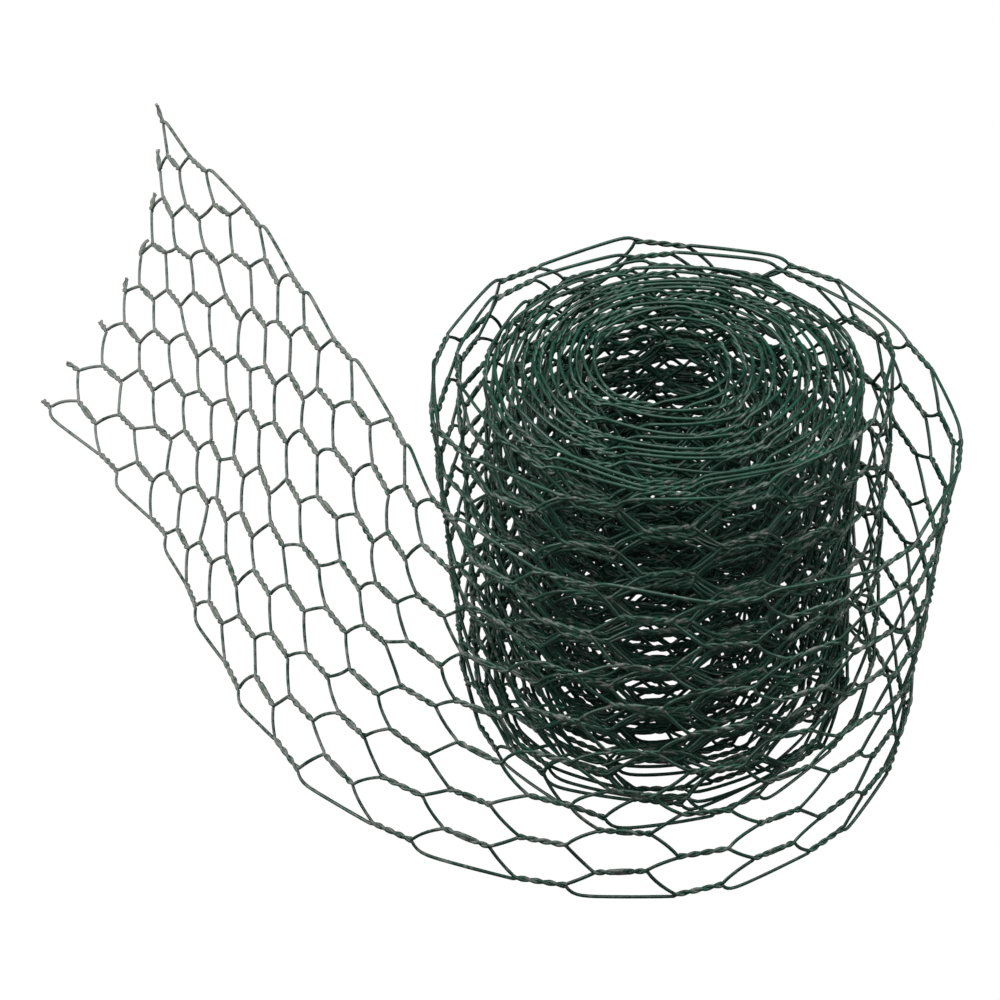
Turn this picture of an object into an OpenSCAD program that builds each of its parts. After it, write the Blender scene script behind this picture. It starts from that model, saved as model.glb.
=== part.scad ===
// Roll of hexagonal wire netting, standing on its end.
// The netting is one continuous sheet: a wound core with an open bore, a loose outer
// turn that springs away from it, and a tail that sweeps off the roll.
// Millimetres, +Z up. The origin is on the bore's axis, on the surface it stands on.

/* [Netting] */
// Width of the netting over its bowed edge wires, which is the standing roll's height
netting_w = 95; // [60:1:150]
// Thickness of the netting where two wires are twisted together
netting_t = 1.5; // [1:0.1:2.4]

/* [Core] */
// Diameter of the open bore through the middle
bore_d = 34; // [20:1:60]
// Wound turns outside the innermost one
core_turns = 13; // [4:1:18]
// Distance from one wound turn to the next
turn_pitch = 2.4; // [2.2:0.1:4]
// Depth of the grooves between the turns on each end
groove_depth = 2.5; // [1:0.5:8]

/* [Tail] */
// Length of the tail past its bends, up to the cut end
tail_end_l = 33; // [10:1:120]
// Lean of the tail towards the roll
tail_lean = 21; // [0:1:30]

/* [Hidden] */

bore_r = bore_d / 2;
core_r = bore_r + core_turns * turn_pitch + netting_t;

// Route of the loose outer turn, from inside the core outwards. Each row is the angle
// round the axis, the clearance from the core's surface to the middle of the
// netting, and the netting's lean towards the axis in degrees.
loose_route = [
    [335, -2, 0],
    [310, -1, 0],
    [285, 4, 1],
    [260, 9, 2],
    [235, 9, -2.3],
    [205, 6.5, -5.5],
    [175, 4.5, -3.5],
    [130, 2.6, -1.5],
    [90, 2.6, -1.6],
    [50, 3, -2],
    [5, 7.5, -3],
    [-30, 21, -6],
    [-60, 34, -8.5],
    [-85, 39.5, -5],
    [-110, 38, -0.5],
    [-135, 35, tail_lean * 0.4]
];
// Points along each span of that route
span_steps = 5;

// Bends of the tail, from the roll outwards. Each row is a length, the angle it
// turns through (a left turn is positive) and the lean that it ends at.
tail_bends = [
    [18, -14, tail_lean * 0.7],
    [18, -1, tail_lean * 0.95],
    [38, -2, tail_lean],
    [34, -8, tail_lean - 1],
    [32, 9, tail_lean - 1],
    [33, 4, tail_lean],
    [tail_end_l, -5, tail_lean + 8]
];
// Longest step along the tail
tail_step = 10;

// Point on a smooth curve through b and c, where u runs from 0 at b to 1 at c
function smooth(a, b, c, d, u) =
    (2 * b + (c - a) * u + (2 * a - 5 * b + 4 * c - d) * u * u + (3 * b - a - 3 * c + d) * u * u * u) / 2;

// Plan position and lean of a row of the loose route
function plan(row) = [(core_r + row[1]) * cos(row[0]), (core_r + row[1]) * sin(row[0]), row[2]];

last_row = len(loose_route) - 1;
loose_points = [
    for (i = [0 : last_row - 1], j = [0 : span_steps - 1])
        plan(smooth(loose_route[max(i - 1, 0)], loose_route[i], loose_route[i + 1],
                    loose_route[min(i + 2, last_row)], j / span_steps)),
    plan(loose_route[last_row])
];

// Points of one bend after point p, which it leaves along heading
function bend_points(p, heading, bend, n, k = 1) =
    k > n ? [] :
    let (h = heading + bend[1] * (k - 0.5) / n,
         q = [p[0] + bend[0] / n * cos(h), p[1] + bend[0] / n * sin(h), p[2] + (bend[2] - p[2]) / (n - k + 1)])
    concat([q], bend_points(q, heading, bend, n, k + 1));

// Points of every bend from number i on
function tail_points(p, heading, i = 0) =
    i == len(tail_bends) ? [] :
    let (bend = tail_bends[i],
         part = bend_points(p, heading, bend, ceil(bend[0] / tail_step)))
    concat(part, tail_points(part[len(part) - 1], heading + bend[1], i + 1));

roll_exit = loose_points[len(loose_points) - 1];
before_exit = loose_points[len(loose_points) - 2];
exit_heading = atan2(roll_exit[1] - before_exit[1], roll_exit[0] - before_exit[0]);
route = concat(loose_points, tail_points(roll_exit, exit_heading));

// Four corners of the netting's section at point i of the route: the foot stays on
// the ground, and the top leans towards the axis
function section(i) =
    let (before = route[max(i - 1, 0)],
         after = route[min(i + 1, len(route) - 1)],
         along = [after[0] - before[0], after[1] - before[1]],
         inward = [along[1], -along[0]] / norm(along),
         lean = route[i][2],
         middle = [route[i][0], route[i][1]],
         reach = inward * netting_w / 2 * sin(lean),
         half_t = inward * netting_t / 2 / cos(lean),
         foot = middle - reach,
         top = middle + reach,
         top_z = netting_w * cos(lean))
    [
        [foot[0] - half_t[0], foot[1] - half_t[1], 0],
        [foot[0] + half_t[0], foot[1] + half_t[1], 0],
        [top[0] + half_t[0], top[1] + half_t[1], top_z],
        [top[0] - half_t[0], top[1] - half_t[1], top_z]
    ];

// Wound turns: one turned solid, with a ridge for each turn on both ends
module wound_turns() {
    foot = [
        for (i = [0 : core_turns])
            let (r = bore_r + i * turn_pitch)
                each i < core_turns
                    ? [[r, 0], [r + netting_t, 0], [r + netting_t, groove_depth], [r + turn_pitch, groove_depth]]
                    : [[r, 0], [r + netting_t, 0]]
    ];
    top = [for (i = [len(foot) - 1 : -1 : 0]) [foot[i][0], netting_w - foot[i][1]]];
    rotate_extrude($fn = 96)
        polygon(concat(foot, top));
}

// Loose outer turn and tail: the same sheet, swept along the route
module loose_sheet() {
    n = len(route);
    corners = [for (i = [0 : n - 1]) each section(i)];
    // Triangles between the sections: the sheet's two faces are split along diagonals
    // that run the same way, so its thickness stays even where it leans more and more
    sides = [
        for (i = [0 : n - 2], j = [0 : 3])
            let (a = 4 * i + j, b = 4 * i + (j + 1) % 4)
                each j == 3
                    ? [[a, b, a + 4], [b, b + 4, a + 4]]
                    : [[a, b, b + 4], [a, b + 4, a + 4]]
    ];
    ends = [[3, 2, 1, 0], [4 * n - 4, 4 * n - 3, 4 * n - 2, 4 * n - 1]];
    polyhedron(corners, concat(sides, ends));
}

module netting_roll() {
    color("darkgreen")
        union() {
            wound_turns();
            loose_sheet();
        }
}

netting_roll();
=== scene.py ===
# %% [markdown]
# # A standing roll of chicken wire
#
# Chicken wire is a net of hexagons. No wire in it is ever tied: long wires run side by
# side from one end of the sheet to the other, and each is twisted in turn with its left
# neighbour and its right one. The sheet here is seven hexagons wide and over three
# metres long, wound up, with a loose outer turn and a tail that sweeps off the roll.
#
# The lesson builds the net as it is made. First comes the path of the sheet, seen from
# above. Then come the wires, drawn on the flat sheet, and one step winds them onto the
# path. A textured plane would be quicker, but a net is mostly holes, and the eye finds
# the twists at once.

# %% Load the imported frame
import math

import bpy
import numpy as np
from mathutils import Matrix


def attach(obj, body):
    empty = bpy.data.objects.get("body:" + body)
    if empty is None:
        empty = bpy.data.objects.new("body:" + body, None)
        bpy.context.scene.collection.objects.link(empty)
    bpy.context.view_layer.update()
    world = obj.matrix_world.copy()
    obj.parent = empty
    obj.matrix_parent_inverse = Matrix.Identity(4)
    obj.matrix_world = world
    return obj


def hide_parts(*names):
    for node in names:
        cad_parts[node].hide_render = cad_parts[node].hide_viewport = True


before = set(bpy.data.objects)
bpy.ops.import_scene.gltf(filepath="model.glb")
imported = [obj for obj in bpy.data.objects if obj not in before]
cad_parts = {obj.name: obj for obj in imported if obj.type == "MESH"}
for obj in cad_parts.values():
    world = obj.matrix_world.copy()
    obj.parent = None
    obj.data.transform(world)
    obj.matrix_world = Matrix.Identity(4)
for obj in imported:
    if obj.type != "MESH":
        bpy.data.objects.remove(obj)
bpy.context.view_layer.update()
MM = 0.001  # metres

# %% [markdown]
# ## Camera, floor and light
#
# A net is seen by what lies behind it and by the highlights that run along its wires.
# So the floor is pure white to the camera, as on a light table, and every hole stands
# out. To the wires the same floor is a dull grey, or it would light up the dark inside
# of the roll. Four large soft boxes draw the highlights, and a faint white sky fills in.

# %% Camera
FOOT_LIFT = 4.1  # mm from the floor up to the lowest row of twists
CAMERA_PLACE = (-39.87, -808.33, 645.08 + FOOT_LIFT)  # mm
CAMERA_DOWN = 36.34  # degrees below level
camera_data = bpy.data.cameras.new("camera")
camera_data.lens, camera_data.sensor_width = 149.0, 36.0
camera_data.clip_start, camera_data.clip_end = 0.05, 50.0
camera = bpy.data.objects.new("camera", camera_data)
camera.location = [c * MM for c in CAMERA_PLACE]
camera.rotation_euler = (math.radians(90 - CAMERA_DOWN), 0, 0)
bpy.context.scene.collection.objects.link(camera)
bpy.context.scene.camera = camera
bpy.context.scene.view_settings.view_transform = "Standard"
print("camera at", [round(c, 3) for c in camera.location])

# %% Floor
FLOOR_HALF = 8.0  # metres
corners = [(x * FLOOR_HALF, y * FLOOR_HALF, 0) for x, y in ((-1, -1), (1, -1), (1, 1), (-1, 1))]
floor_mesh = bpy.data.meshes.new("floor")
floor_mesh.from_pydata(corners, [], [(0, 1, 2, 3)])
floor = bpy.data.objects.new("floor", floor_mesh)
bpy.context.scene.collection.objects.link(floor)
print("floor is", 2 * FLOOR_HALF, "m wide")

# %% Floor paint: white to the camera, grey to the net
floor_paint = bpy.data.materials.new("pale_floor")
floor_paint.use_nodes = True
floor_nodes, floor_links = floor_paint.node_tree.nodes, floor_paint.node_tree.links
grey = floor_nodes["Principled BSDF"]
grey.inputs["Base Color"].default_value = (0.15, 0.15, 0.15, 1)
grey.inputs["Roughness"].default_value = 0.9
grey.inputs["Specular IOR Level"].default_value = 0.0
white = floor_nodes.new("ShaderNodeEmission")
white.inputs["Strength"].default_value = 1.0
seen = floor_nodes.new("ShaderNodeLightPath")
pick = floor_nodes.new("ShaderNodeMixShader")
floor_links.new(seen.outputs["Is Camera Ray"], pick.inputs["Fac"])
floor_links.new(grey.outputs["BSDF"], pick.inputs[1])
floor_links.new(white.outputs["Emission"], pick.inputs[2])
floor_links.new(pick.outputs["Shader"], floor_nodes["Material Output"].inputs["Surface"])
floor_mesh.materials.append(floor_paint)
print("floor paint:", len(floor_nodes), "nodes")

# %% Soft boxes and a faint white sky
def soft_box(name, place, size, watts):
    """A square light that faces the roll. Its place and size are in metres."""
    lamp = bpy.data.lights.new(name, "AREA")
    lamp.shape, lamp.size, lamp.energy = "SQUARE", size, watts
    box = bpy.data.objects.new(name, lamp)
    box.location = place
    toward = -np.array(place) / np.linalg.norm(place)
    box.rotation_euler = (math.acos(-toward[2]), 0, math.atan2(toward[1], toward[0]) - math.pi / 2)
    bpy.context.scene.collection.objects.link(box)
    print(name, watts, "W,", round(np.linalg.norm(place), 2), "m away")


soft_box("top_light", (0.1, 0.35, 1.4), 1.0, 21)
soft_box("front_light", (-0.4, -0.9, 1.4), 0.9, 9)
soft_box("left_light", (-1.2, 0.1, 0.7), 0.6, 14)
soft_box("right_light", (1.2, -0.1, 0.7), 0.6, 10)
sky = bpy.data.worlds.new("white_room")
sky.use_nodes = True
sky.node_tree.nodes["Background"].inputs["Color"].default_value = (1, 1, 1, 1)
sky.node_tree.nodes["Background"].inputs["Strength"].default_value = 0.12
bpy.context.scene.world = sky

# %% [markdown]
# ## The path of the sheet, seen from above
#
# The wound turns are close to a spiral, but a hand-wound roll is never even: the turns
# sit tight at the back and loose at the front. Each turn's reach at the front is given,
# and the back closes in evenly. Outside them the loose turns spring away, and those are
# given point by point: the angle round the bore, the radius, and how far the net leans.
#
# Angles are in degrees and fall from the inside out, one full turn after another. The
# front of a turn is at 270 and its back at 90, plus whole turns.

# %% Wound turns, from the inside out
TURN = 360.0
# mm from the bore's axis to the net at the front of each turn
front_reach = [18.4, 21.6, 23.7, 25.4, 28.7, 31.2, 34.4, 36.1, 39.0, 41.0, 46.5, 48.8, 51.4]
FIRST_FRONT = 270 + 14 * TURN
front_angles = [FIRST_FRONT - TURN * i for i in range(len(front_reach))]
FIRST_BACK, LAST_BACK = FIRST_FRONT + 180, 90 + 2 * TURN
BACK_INSIDE, BACK_OUTSIDE = 17.3, 42.0  # mm from the axis at those two


def wound_radius(angle):
    """Radius in mm of the wound net at an angle."""
    a = math.radians(angle)
    front = np.interp(-angle, [-f for f in front_angles], front_reach)
    grown = np.clip((FIRST_BACK - angle) / (FIRST_BACK - LAST_BACK), 0, 1)
    back = BACK_INSIDE + (BACK_OUTSIDE - BACK_INSIDE) * grown
    # The outer turns are pressed in at both sides, mostly the left, and the first ones on the right
    uneven = grown * (1.6 * math.cos(a) - 2.0 * math.cos(a) ** 2)
    uneven -= 3.5 * max(0, math.cos(a)) * (1 - grown) ** 4
    return front * (1 - math.sin(a)) / 2 + back * (1 + math.sin(a)) / 2 + uneven


# Rows of angle, radius in mm, and lean in degrees
wound = [(angle, wound_radius(angle), 0) for angle in range(5570, 800, -30)]
# The free inner end runs almost straight across the front of the bore
free_end = [(5700, 17.2, 0), (5690, 16.0, 0), (5670, 15.2, 0),
            (5648, 16.4, 0), (5630, 18.4, 0), (5605, 18.0, 0)]
print("wound rows:", len(wound))

# %% Loose turns
TAIL_LEAN = 21
loose = [
    (770, 41.7, 0), (740, 43.2, 0), (700, 46.7, 0), (665, 49.2, 0), (630, 53.2, 0), (595, 51.7, 0),
    (560, 48.6, -2.5), (525, 48, -2.5), (490, 47, -1), (455, 46.2, 0), (425, 46.7, 0),
    (400, 50.2, 0), (380, 54.2, 0), (350, 52.7, 0), (320, 52.2, 0), (290, 55.2, 1.5),
    (265, 59.2, 2), (235, 58.9, -2.3), (205, 55.4, -6.3), (175, 51.8, -3.5), (130, 50.4, -1.5),
    (90, 50.5, -1.6), (50, 51.7, -2), (5, 56.7, -3), (-30, 70.7, -6), (-60, 83.7, -8.5),
    (-85, 89.2, -5), (-110, 87.7, -0.5), (-135, 84.7, TAIL_LEAN * 0.4)]
print("loose rows:", len(loose))

# %% Bends of the tail, from the roll outwards
# Rows of length in mm, the angle that it turns through, and the lean that it ends at
tail_bends = [
    (18, -14, TAIL_LEAN * 0.7), (18, -1, TAIL_LEAN * 0.95), (38, -2, TAIL_LEAN), (34, -8, TAIL_LEAN - 1),
    (32, 9, TAIL_LEAN - 1), (33, 4, TAIL_LEAN), (39, -6, TAIL_LEAN + 9)]
print("the tail is", sum(bend[0] for bend in tail_bends), "mm long")

# %% [markdown]
# ## One smooth curve through those rows
#
# A Catmull-Rom curve passes through every row and needs no handles. The tail goes on
# from its end in short arcs, each with a length and the angle that it turns through.
# The result is a dense list of points, measured along the net from the cut end, because
# that is where the mesh can be counted from.

# %% Sample the curve
def through(rows, steps):
    """Points on a smooth curve through all rows."""
    rows = np.array(rows, float)
    padded = np.vstack([rows[:1], rows, rows[-1:]])
    t = np.arange(steps)[:, None] / steps
    spans = []
    for a, b, c, d in zip(padded, padded[1:], padded[2:], padded[3:]):
        square, cube = 2 * a - 5 * b + 4 * c - d, 3 * b - a - 3 * c + d
        spans.append((2 * b + (c - a) * t + square * t**2 + cube * t**3) / 2)
    return np.vstack([*spans, rows[-1:]])


polar = through(free_end + wound + loose, 24)
turned = np.radians(polar[:, 0])
# Columns of x and y in mm, lean and angle in degrees
plan = np.c_[polar[:, 1] * np.cos(turned), polar[:, 1] * np.sin(turned), polar[:, 2], polar[:, 0]]
print(len(plan), "points round the roll")

# %% Add the tail's arcs
TAIL_ANGLE = -200  # stands for every point of the tail, which is off the roll
heading = math.degrees(math.atan2(*(plan[-1] - plan[-2])[1::-1]))
path = [tuple(p) for p in plan]
for length, bend, lean in tail_bends:
    x, y, lean_before, _ = path[-1]
    steps = int(length)
    for i in range(steps):
        h = math.radians(heading + bend * (i + 0.5) / steps)
        x, y = x + length / steps * math.cos(h), y + length / steps * math.sin(h)
        path.append((x, y, lean_before + (lean - lean_before) * (i + 1) / steps, TAIL_ANGLE))
    heading += bend
print(len(path), "points with the tail")

# %% Measure along the net, in even steps from the cut end
STEP = 0.5  # mm
path = np.array(path[::-1])
uneven_run = np.r_[0, np.cumsum(np.hypot(*np.diff(path[:, :2], axis=0).T))]
run = np.arange(0, uneven_run[-1], STEP)
path = np.column_stack([np.interp(run, uneven_run, path[:, i]) for i in range(4)])
print("net is", round(run[-1] * MM, 2), "m long")

# %% Soften the lean and find the side that faces the bore
SOFT_STEPS = 41
soften = np.ones(SOFT_STEPS) / SOFT_STEPS
path[:, 2] = np.convolve(np.pad(path[:, 2], SOFT_STEPS // 2, "edge"), soften, "valid")
lean = np.radians(path[:, 2])
ahead = np.gradient(path[:, :2], axis=0)
ahead /= np.linalg.norm(ahead, axis=1)[:, None]
inward = np.c_[-ahead[:, 1], ahead[:, 0]]
print("the net leans from", round(path[:, 2].min(), 1), "to", round(path[:, 2].max(), 1), "degrees")

# %% [markdown]
# ## The mesh on the flat sheet
#
# A place on the sheet has two numbers: how many cells it is from the cut end, and how
# many millimetres it is above the lowest row of twists. A cell is 13 mm wide. It is 37.5
# mm long where the net is wound, shorter in the slack tail, and longer where the loose
# turn was pulled. The net is also pulled a little askew. A few rows say so, and the rest
# is interpolated.

# %% Cell sizes along the net
CELL_W = 13.0
CELLS = 7
WIDTH = CELL_W * CELLS
WOUND_CELL = 37.5
# Rows of cells from the cut end, and in mm: length of a cell, width of the net, lead of its
# top edge towards the cut end, and how far its middle hollows towards the roll
mesh_rows = np.array([
    (0, 35, 86, 5.5, 10), (1, 33, 87, 4.5, 5), (2, 33, 91, 4.5, 2.5), (4, 33, 94, 1.5, 0),
    (5, 37.5, 92, -1, 0), (7, 38, 91, -6, 0), (9, 38.5, 91, -2, 0), (11, 42, 91, 1.5, 0),
    (13, WOUND_CELL, 91, 0, 0), (100, WOUND_CELL, 91, 0, 0)])


def mesh_at(u):
    """Cell length, width, lead and hollow at a place in cells from the cut end."""
    return [np.interp(u, mesh_rows[:, 0], mesh_rows[:, i]) for i in range(1, 5)]


COUNT_STEP = 0.05  # of a cell
SPARE = 8.0  # mm of path beyond each end, for rows that are pulled askew
count = np.arange(0, mesh_rows[-1, 0], COUNT_STEP)
cell_length = mesh_at(count)[0]
cell_run = SPARE + np.r_[0, np.cumsum((cell_length[1:] + cell_length[:-1]) / 2 * COUNT_STEP)]
print("cells are", cell_length.min(), "to", cell_length.max(), "mm long")

# %% [markdown]
# ## Turns that bed into each other
#
# A wound turn settles into the one inside it. Where both hold the same share of a cell
# at the front, their hexagons lie on top of each other and look like one hexagon of
# thick wire. Each turn here holds a whole number of cells plus a small skip: half a cell
# moves its twists over the holes of its neighbour, and the inner ones slip by less.

# %% Whole cells in each nested turn
skip = np.array([0.5, 0, 0, 0.5, 0, 0, 0.12, -0.2, 0.25])  # of a cell, from the outermost in
FRONT = 270
nest_run = np.interp(FRONT + TURN * np.arange(len(skip) + 1), path[:, 3], run)
in_turn = np.round(np.diff(nest_run) / WOUND_CELL - skip) + skip
nest_count = np.interp(nest_run[0], cell_run, count) + np.r_[0, np.cumsum(in_turn)]
print("cells in each nested turn:", in_turn)
# The turns inside the nested ones go on with cells of the usual length
nest_run = np.r_[nest_run, nest_run[-1] + 100 * WOUND_CELL]
nest_count = np.r_[nest_count, nest_count[-1] + 100]
cell_run = np.where(count < nest_count[0], cell_run, np.interp(count, nest_count, nest_run))
# Twists stand in columns half a cell apart
LAST_COLUMN = int(2 * np.interp(run[-1] - SPARE, cell_run, count))
print("the net is", LAST_COLUMN / 2, "cells long")

# %% [markdown]
# ## Winding: from the flat sheet to the roll
#
# This is the heart of the model. It takes a point on the sheet and its height above the
# sheet's face, and returns its place in the room. Everything else is drawn flat.

# %% The winding step
def wind(u, v, d):
    """Place in mm of a point u cells along, v mm up and d mm in from the net's face."""
    _, width, lead, hollow = mesh_at(u)
    s = np.interp(u, count, cell_run) - lead * (v / WIDTH - 0.5)
    d = d + hollow * (4 * v / WIDTH * (1 - v / WIDTH) - 0.5)
    a = np.interp(s, run, lean)
    side = np.stack([np.interp(s, run, inward[:, 0]), np.interp(s, run, inward[:, 1])], -1)
    middle = np.stack([np.interp(s, run, path[:, 0]), np.interp(s, run, path[:, 1])], -1)
    up = v * width / WIDTH
    reach = (up - width / 2) * np.sin(a) + d * np.cos(a)
    flat = middle + side * reach[..., None]
    return np.stack([flat[..., 0], flat[..., 1], FOOT_LIFT + up * np.cos(a) - d * np.sin(a)], -1)


def face_normal(u, v):
    """Direction that the net's face looks in, towards the bore."""
    n = wind(u, v, np.full_like(u, 0.5)) - wind(u, v, np.full_like(u, -0.5))
    return n / np.linalg.norm(n, axis=-1, keepdims=True)


cut_ends = wind(np.zeros(2), np.array([0, WIDTH]), np.zeros(2))
print("foot and top of the cut, mm:", cut_ends.round(1).tolist())

# %% [markdown]
# ## Twists
#
# Two wires that are twisted together each follow a screw line round a shared middle.
# Real netting has two kinds in alternate columns: one turns the same way all along,
# and one turns back halfway, which leaves a fat eye in its middle. No machine places
# them perfectly, so each twist gets its own small shift, tilt and length, and both of
# its wires read the same values.

# %% Sizes of the wire and its twists
WIRES = 2 * CELLS + 2
WIRE_R = 0.43
SQUEEZED_R = 0.32  # a twist squeezes its two soft coats together
ENDS_OPEN = 0.4  # of that: how much further apart the wires are at its ends
TWIST_HALF = 1 / 6  # of a cell
TURNS_EVEN, TURNS_BACK = 2.0, 1.0
EYE_SHARE = 0.24  # of half a twist: the eye where the turning goes back
EYE_REACH = 1.4  # the swelling there ends a little past the eye
EYE_OPEN = 0.08  # mm
EDGE_STEADY = 0.35  # of the usual shift up or down, for the twists along both edges
print("wire is", 2 * WIRE_R, "mm thick, and a twist", round(2 * (WIRE_R + SQUEEZED_R), 2))

# %% Each twist's own shift, tilt and length
rng = np.random.default_rng(13)
per_twist, per_wire = (LAST_COLUMN + 1, CELLS + 1), (LAST_COLUMN + 1, WIRES)
wander = {
    "along": rng.normal(0, 0.009, per_twist),
    "up": rng.normal(0, 0.38, per_twist),
    "tilt": rng.normal(0, 0.42, per_twist),
    "out": rng.normal(0, 0.28, per_twist),
    "half": rng.normal(1, 0.06, per_twist),
    "bow": rng.normal(1, 0.16, per_twist),
    "sway": rng.normal(-0.012, 0.011, per_wire),
}
for values in wander.values():
    most = 2.2 * values.std()
    values[:] = np.clip(values, values.mean() - most, values.mean() + most)
print("twists shift up or down by at most", round(abs(wander["up"]).max(), 2), "mm")

# %% Which twist a wire is in
def twist_of(wire, column):
    """Number of the twist that a wire is in at a column, and its side: -1 low, 1 high."""
    if column % 2 == 0:
        return wire // 2, (-1 if wire % 2 == 0 else 1)
    if wire in (0, WIRES - 1):
        return None, 0
    return (wire - 1) // 2, (-1 if wire % 2 else 1)


for column in (0, 1):
    pair = [wire for wire in range(WIRES) if twist_of(wire, column)[0] == 0]
    print("wires in the lowest twist of column", column, "are", pair)

# %% One wire's share of a twist
def twist_points(wire, column, n):
    """Points of a wire through a twist: u, v, d and swelling, and the two ends of the twist."""
    j, side = twist_of(wire, column)
    w = {name: values[column, j] for name, values in wander.items()}
    half = TWIST_HALF * w["half"]
    middle = column / 2 + w["along"]
    at_edge = column % 2 == 0 and j in (0, CELLS)
    up = CELL_W * (j + 0.5 * (column % 2)) + w["up"] * (EDGE_STEADY if at_edge else 1)
    t = np.linspace(-1, 1, n)
    near_end = np.clip(abs(t) * 5 - 4, 0, 1)
    r, swell = SQUEEZED_R * (1 + ENDS_OPEN * near_end), np.zeros(n)
    if column % 2 == 0:
        phi = math.pi * TURNS_EVEN * (t + 1)
    else:
        phi = 2 * math.pi * TURNS_BACK * np.clip((1 - abs(t)) / (1 - EYE_SHARE), 0, 1)
        swell = np.cos(np.clip(t / EYE_SHARE / EYE_REACH, -1, 1) * math.pi / 2)
        r = r + EYE_OPEN * swell
    phi = phi + (0 if side > 0 else math.pi)
    v = up + w["tilt"] * t + r * np.cos(phi)
    d = w["out"] + r * np.sin(phi) * (1 if j % 2 else -1)  # twists one above the other mirror
    return middle + half * t, v, d, swell, (middle - half, middle + half)


print("first twist, ends in cells:", [round(float(end), 3) for end in twist_points(0, 0, 5)[4]])

# %% [markdown]
# ## From twist to twist
#
# Between twists a wire runs alone, at a slant, to its other neighbour. It bends hard
# where it leaves the twist and is almost straight after that. The wires at the two
# edges have no outer neighbour: every second time they run alone and bow outwards.

# %% Single runs and edge bows
BOW_LOW, BOW_HIGH = 2.1, 1.1  # mm past the twists of the lower and the upper edge
ELBOW = 0.07  # of an edge wire's free run: how soon it has bent outwards


def single_run(start, end, n, sway):
    """Points between two twists, ends left out: almost straight, but it sways to one side."""
    t = np.linspace(0, 1, n + 2)[1:-1]
    u, v, d = (a + (b - a) * t for a, b in zip(start, end))
    return u + sway * 4 * t * (1 - t), v, d


def edge_run(start, end, n, bow):
    """An edge wire: an elbow soon after the twist, then almost straight to the next one."""
    t = np.linspace(0, 1, n + 2)[1:-1] ** 1.4  # more points near the elbow
    elbow = (1 - t) * (1 - np.exp(-t / ELBOW))
    u, v, d = (a + (b - a) * t for a, b in zip(start, end))
    return u, v + bow * elbow / elbow.max(), d


def run_between(wire, column, start, end, points):
    """Points of a wire from its last twist up to the one in this column."""
    if end[0] - start[0] < 0.5:  # of a cell: only edge wires go further between two twists
        return single_run(start, end, points["single"], wander["sway"][column, wire])
    if wire == 0:
        return edge_run(start, end, points["edge"], -BOW_LOW * wander["bow"][column, 0])
    return edge_run(start, end, points["edge"], BOW_HIGH * wander["bow"][column, CELLS])


print("edge wires bow out by about", BOW_LOW, "mm below and", BOW_HIGH, "mm above")

# %% Stubs at the cut end
STUB_PAST = 1.25  # of half a twist: the snips went a little past the middle
# How far each stub's tip springs up and towards the roll, mm, from the lowest stub up
stub_spring = [(0, 0.5), (0, -2), (1.5, -1), (3, 0.5), (4, 2.5), (4.5, 1.5), (4.5, 0), (4, -1)]


def cut_stub(j, u, v, d, ends):
    """The part of the first twist that is left after the cut, bent by the snips."""
    middle, half = (ends[0] + ends[1]) / 2, (ends[1] - ends[0]) / 2
    share = 1 - (u - middle) / half
    keep = share < STUB_PAST
    bend = (share[keep] / STUB_PAST) ** 2
    return u[keep], v[keep] + stub_spring[j][0] * bend, d[keep] + stub_spring[j][1] * bend


print(len(stub_spring), "stubs of two wires each")

# %% One whole wire on the flat sheet, from the cut end to the inner end
FINE_COLUMNS = 62  # the outer turns, which are seen most, get more points
FINE = {"twist": 25, "single": 4, "edge": 14}
COARSE = {"twist": 19, "single": 3, "edge": 10}


def wire_path(wire):
    """Points along a wire. Rows of u, v, d, swelling, both ends of the stretch, 1 in a twist."""
    parts, before = [], None
    for column in range(LAST_COLUMN + 1):
        if twist_of(wire, column)[0] is None:
            continue
        points = FINE if column < FINE_COLUMNS else COARSE
        u, v, d, swell, ends = twist_points(wire, column, points["twist"])
        if before is not None:
            start, end = [x[-1] for x in before], (u[0], v[0], d[0])
            part = run_between(wire, column, start, end, points)
            none = 0 * part[0]
            parts.append(np.array([*part, none, none + start[0], none + end[0], none]))
        if column == 0:
            u, v, d = cut_stub(wire // 2, u, v, d, ends)
            swell = swell[-len(u):]
        none = 0 * u
        parts.append(np.array([u, v, d, swell, none + ends[0], none + ends[1], none + 1]))
        before = (u, v, d)
    return np.hstack(parts)


print("lowest wire has", wire_path(0).shape[1], "points, the next one", wire_path(1).shape[1])

# %% Winding a wire onto the roll
# Cells from the cut end, and how straight a wire stays there: tight turns bend it more
OUTSIDE, INSIDE = (20, 0.75), (60, 0.25)


def wind_wire(flat):
    """Places of a wire's points. Wire is stiff, so each stretch is straighter than its turn."""
    u, v, d, _, low, high, _ = flat
    share = ((u - low) / (high - low))[:, None]
    chord = wind(low, v, d) * (1 - share) + wind(high, v, d) * share
    straight = np.interp(u, *zip(OUTSIDE, INSIDE))[:, None]
    return wind(u, v, d) * (1 - straight) + chord * straight


print("lowest wire is about", round(wind_wire(wire_path(0))[:, 2].min() - WIRE_R, 2), "mm up")

# %% [markdown]
# ## Tubes
#
# Each path now becomes a round tube. A ring of points is set square to the path at
# every step and joined to the next. To choose which way is up in each ring, the net's
# own normal is used: no wire ever points that way, so the rings never flip over.

# %% Rings along a path
SIDES = 6


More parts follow.
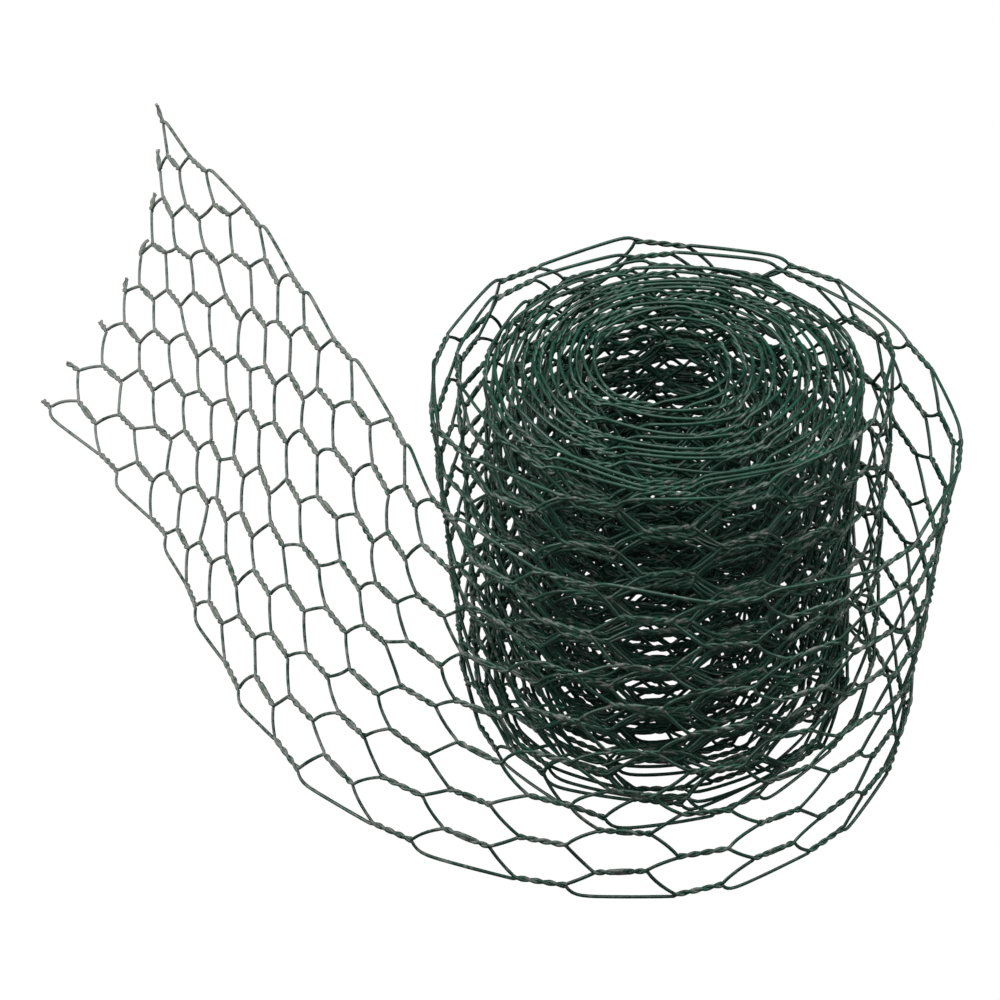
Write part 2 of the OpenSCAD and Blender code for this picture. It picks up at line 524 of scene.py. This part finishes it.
def rings(points, normals, radius):
    """Vertices of a tube: SIDES of them round every point."""
    along = np.gradient(points, axis=0)
    along /= np.linalg.norm(along, axis=1)[:, None]
    across = normals - along * (normals * along).sum(1)[:, None]
    across /= np.linalg.norm(across, axis=1)[:, None]
    third = np.cross(along, across)
    a = (np.arange(SIDES) * 2 * math.pi / SIDES)[:, None]
    outward = across[:, None] * np.cos(a) + third[:, None] * np.sin(a)
    return (points[:, None] + radius[:, None, None] * outward).reshape(-1, 3)


def tube_faces(n):
    """Four-sided faces between n rings."""
    ring = np.arange(n - 1)[:, None] * SIDES
    i = np.arange(SIDES)
    j = (i + 1) % SIDES
    return np.stack([ring + i, ring + SIDES + i, ring + SIDES + j, ring + j], -1).reshape(-1, 4)


print("a tube of ten rings has", len(tube_faces(10)), "sides")

# %% [markdown]
# ## A flat map for each tube
#
# When a model leaves Blender, its finish is baked into a flat picture, where every face
# needs a place of its own. A wire is thousands of times longer than it is thick, and in
# one piece it would be a hair across that picture. So it is cut into strips, and they
# are laid one above the other.

# %% Flat map of a tube, in strips
STRIPS = 40


def strip_map(mesh, points):
    """Cuts the long tube into even strips and lays them one above the other, with gaps between."""
    measured = np.r_[0, np.cumsum(np.linalg.norm(np.diff(points, axis=0), axis=1))]
    share = measured / measured[-1] * STRIPS
    strip = np.minimum(np.floor(share[:-1]), STRIPS - 1)
    left, right = 0.01 + 0.96 * (share[:-1] - strip), 0.01 + 0.96 * (share[1:] - strip)
    edge = 0.1 + 0.8 * np.arange(SIDES + 1) / SIDES
    u = np.stack([left, right, right, left], -1)[:, None].repeat(SIDES, 1)
    v = (strip[:, None, None] + np.stack([edge[:-1], edge[:-1], edge[1:], edge[1:]], -1)) / STRIPS
    tube = np.stack([u, v], -1).reshape(-1, 2)
    # The two end faces lie to the right of the first two strips
    corner = np.arange(2 * SIDES)
    a = corner * 2 * math.pi / SIDES
    caps = np.c_[0.995 + 0.003 * np.cos(a), (0.5 + 0.2 * np.sin(a) + (corner >= SIDES)) / STRIPS]
    mesh.uv_layers.new(name="OFBake").data.foreach_set("uv", np.vstack([tube, caps]).ravel())


def ring_values(mesh, name, values):
    """Stores one number per ring, for the material to read."""
    mesh.attributes.new(name, "FLOAT", "POINT").data.foreach_set("value", np.repeat(values, SIDES))


print("each wire is mapped in", STRIPS, "strips")

# %% [markdown]
# ## The wires themselves
#
# Everything is ready now: a wire is drawn flat, wound, and made into a tube with a map.
# Each ring also stores three numbers that the finish reads later: whether the steel is
# bare there, how much painted grey sheen it gets, and whether it is in a twist. The
# sheen is a painted reflection: it stands in for the white room that the tail and the
# loose turns reflect.

# %% A mesh object from a tube
def tube_object(name, points, normals, radius, values):
    """A closed tube through the points, with its map and its ring values."""
    n = len(points)
    mesh = bpy.data.meshes.new(name)
    faces = [tuple(f) for f in tube_faces(n).tolist()]
    faces += [tuple(range(SIDES)), tuple((n - 1) * SIDES + i for i in reversed(range(SIDES)))]
    mesh.from_pydata((rings(points, normals, radius) * MM).tolist(), [], faces)
    mesh.shade_smooth()
    strip_map(mesh, points)
    for key, per_ring in values.items():
        ring_values(mesh, key, per_ring)
    made = bpy.data.objects.new(name, mesh)
    bpy.context.scene.collection.objects.link(made)
    return made

# %% The sixteen wires
EYE_SWELL = 0.2  # the coat runs together in an eye
UNEVEN_COAT = 0.02
# Rows of cells from the cut end, and how much painted sheen the wires get there: a grey
# that stands in for the white room reflected by the tail and the loose turns
painted_sheen_rows = [(0, 1), (4.5, 0.76), (6, 0.45), (8, 0.18), (12, 0.12), (24, 0.2), (30, 0)]
wires, wire_metres = [], 0
for number in range(WIRES):
    flat = wire_path(number)
    u, v, _, swell, _, _, twisted = flat
    points = wind_wire(flat)
    wire_metres += np.linalg.norm(np.diff(points, axis=0), axis=1).sum() * MM
    bare = np.zeros(len(points))
    bare[[0, -1]] = 1
    # The second of these numbers paints a grey sheen, a painted reflection of the white room on the tail
    # and loose turns
    values = {"bare": bare, "painted_sheen": np.interp(u, *zip(*painted_sheen_rows)), "twisted": twisted}
    radius = WIRE_R * (1 + EYE_SWELL * swell + rng.normal(0, UNEVEN_COAT, len(points)))
    name = f"netting_wire_{number + 1:02d}"
    wires.append(tube_object(name, points, face_normal(u, v), radius, values))
triangles = sum(len(face.vertices) - 2 for wire in wires for face in wire.data.polygons)
print(len(wires), "wires,", round(wire_metres, 1), "m of wire,", triangles, "triangles")

# %% [markdown]
# ## Green plastic coating
#
# Steel wire is drawn through liquid PVC, which leaves a dark green skin with a soft
# shine. It isn't one flat green. The skin is thicker in some places than in others, it
# has fine ripples, and it is rubbed to a dull grey where two wires were squeezed
# together. The same grey is painted along the tail and the loose turns as a painted
# sheen, a painted reflection of the white room that those wires face. The steel shows
# at the cuts.
#
# Each of these effects is a node group of its own, and the material only joins them up.

# %% Helpers for small shader networks
FLOAT, COLOUR = "NodeSocketFloat", "NodeSocketColor"


def node(tree, kind, inputs=(), **settings):
    """Adds a node, sets its settings and fills its inputs by name or number."""
    made = tree.nodes.new(kind)
    for key, value in settings.items():
        setattr(made, key, value)
    for key, value in dict(inputs).items():
        if isinstance(value, bpy.types.NodeSocket):
            tree.links.new(value, made.inputs[key])
        else:
            made.inputs[key].default_value = value
    return made


def colour_mix(tree, factor, first, second):
    """Mixes two colours. A Mix node's colour sockets are inputs 6 and 7 and output 2."""
    return node(tree, "ShaderNodeMix", {0: factor, 6: first, 7: second}, data_type="RGBA").outputs[2]


def group(name, inputs, outputs):
    """A node group with named sockets, and its two end nodes."""
    tree = bpy.data.node_groups.new(name, "ShaderNodeTree")
    for key, (kind, value) in inputs.items():
        tree.interface.new_socket(key, in_out="INPUT", socket_type=kind).default_value = value
    for key, kind in outputs.items():
        tree.interface.new_socket(key, in_out="OUTPUT", socket_type=kind)
    print("group", name, "takes", list(inputs), "and gives", list(outputs))
    return tree, tree.nodes.new("NodeGroupInput").outputs, tree.nodes.new("NodeGroupOutput")

# %% Uneven green of the skin
skin, given, result = group("uneven_skin", {
    "Green": (COLOUR, (0.0020, 0.020, 0.012, 1)), "Thin Green": (COLOUR, (0.004, 0.055, 0.033, 1)),
    "Patch Scale": (FLOAT, 90.0), "Fleck Scale": (FLOAT, 900.0)}, {"Color": COLOUR})
place = node(skin, "ShaderNodeTexCoord").outputs["Object"]
patches = node(skin, "ShaderNodeTexNoise", {"Vector": place, "Scale": given["Patch Scale"], "Detail": 3.0})
flecks = node(skin, "ShaderNodeTexNoise", {"Vector": place, "Scale": given["Fleck Scale"], "Detail": 2.0})
both = node(skin, "ShaderNodeMath", {0: patches.outputs["Fac"], 1: flecks.outputs["Fac"]}, operation="ADD")
spread = node(skin, "ShaderNodeMapRange", {"Value": both.outputs[0], "From Min": 0.75, "From Max": 1.3})
mixed = colour_mix(skin, spread.outputs[0], given["Green"], given["Thin Green"])
skin.links.new(mixed, result.inputs["Color"])

# %% Scuffs at the twists, and a painted sheen along the tail and the loose turns
scuffs_and_sheen, given, result = group("scuffs_and_sheen", {
    "Scale": (FLOAT, 420.0), "On Twists": (FLOAT, 0.07), "On Painted Sheen": (FLOAT, 0.26)}, {"Mask": FLOAT})
place = node(scuffs_and_sheen, "ShaderNodeTexCoord").outputs["Object"]
speckle = node(scuffs_and_sheen, "ShaderNodeTexNoise", {
    "Vector": place, "Scale": given["Scale"], "Detail": 4.0, "Roughness": 0.65})
amount = 0.0
# The twist attribute adds real scuff marks; the other one adds a painted sheen, a painted reflection along
# the tail and loose turns
for name, share in (("twisted", "On Twists"), ("painted_sheen", "On Painted Sheen")):
    stored = node(scuffs_and_sheen, "ShaderNodeAttribute", attribute_name=name)
    amount = node(scuffs_and_sheen, "ShaderNodeMath", {
        0: stored.outputs["Fac"], 1: given[share], 2: amount}, operation="MULTIPLY_ADD").outputs[0]
raised = node(scuffs_and_sheen, "ShaderNodeMath", {0: speckle.outputs["Fac"], 1: amount}, operation="ADD")
mask = node(scuffs_and_sheen, "ShaderNodeMapRange", {"Value": raised.outputs[0], "From Min": 0.62, "From Max": 0.80})
scuffs_and_sheen.links.new(mask.outputs[0], result.inputs["Mask"])

# %% Fine ripples of the skin
ripple, given, result = group("skin_ripple", {
    "Scale": (FLOAT, 1500.0), "Dent Scale": (FLOAT, 300.0)}, {"Height": FLOAT})
place = node(ripple, "ShaderNodeTexCoord").outputs["Object"]
fine = node(ripple, "ShaderNodeTexNoise", {"Vector": place, "Scale": given["Scale"], "Detail": 2.0})
dents = node(ripple, "ShaderNodeTexNoise", {"Vector": place, "Scale": given["Dent Scale"], "Detail": 1.0})
height = node(ripple, "ShaderNodeMath", {
    0: dents.outputs["Fac"], 1: 2.0, 2: fine.outputs["Fac"]}, operation="MULTIPLY_ADD")
ripple.links.new(height.outputs[0], result.inputs["Height"])

# %% Coating material
# Pale grey of real scuff marks at the twists, also painted along the tail and loose turns as a painted
# sheen, a painted reflection
SCUFF_AND_SHEEN_GREY = (0.13, 0.145, 0.13, 1)
STEEL = (0.30, 0.29, 0.27, 1)
coating = bpy.data.materials.new("green_pvc_coating")
coating.use_nodes = True
tree = coating.node_tree
shader = tree.nodes["Principled BSDF"]
green = node(tree, "ShaderNodeGroup", node_tree=skin)
scuff_and_sheen_mask = node(tree, "ShaderNodeGroup", node_tree=scuffs_and_sheen)
rippled = node(tree, "ShaderNodeGroup", node_tree=ripple)
# Real scuff marks and the painted sheen both turn the green grey here
worn_and_sheened = colour_mix(tree, scuff_and_sheen_mask.outputs["Mask"], green.outputs["Color"], SCUFF_AND_SHEEN_GREY)
cut = node(tree, "ShaderNodeAttribute", attribute_name="bare")
bare_share = node(tree, "ShaderNodeMapRange", {
    "Value": cut.outputs["Fac"], "From Min": 0.6, "From Max": 0.8})
tree.links.new(colour_mix(tree, bare_share.outputs[0], worn_and_sheened, STEEL), shader.inputs["Base Color"])
tree.links.new(bare_share.outputs[0], shader.inputs["Metallic"])
dull = node(tree, "ShaderNodeMapRange", {"Value": scuff_and_sheen_mask.outputs["Mask"], "To Min": 0.35, "To Max": 0.55})
tree.links.new(dull.outputs[0], shader.inputs["Roughness"])
shader.inputs["Specular IOR Level"].default_value = 0.42
bump = node(tree, "ShaderNodeBump", {
    "Height": rippled.outputs["Height"], "Strength": 0.5, "Distance": 0.00008})
tree.links.new(bump.outputs["Normal"], shader.inputs["Normal"])
print("coating:", len(tree.nodes), "nodes")

# %% [markdown]
# ## Put the wires on the frame
#
# Every wire rides on the one body, stands for the CAD model's solid roll, and takes the
# same finish.

# %% Coat the wires and hang them on the frame
for wire in wires:
    wire.data.materials.append(coating)
    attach(wire, "root")
    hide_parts("netting_roll")
print(len(wires), "wires stand for the solid roll")
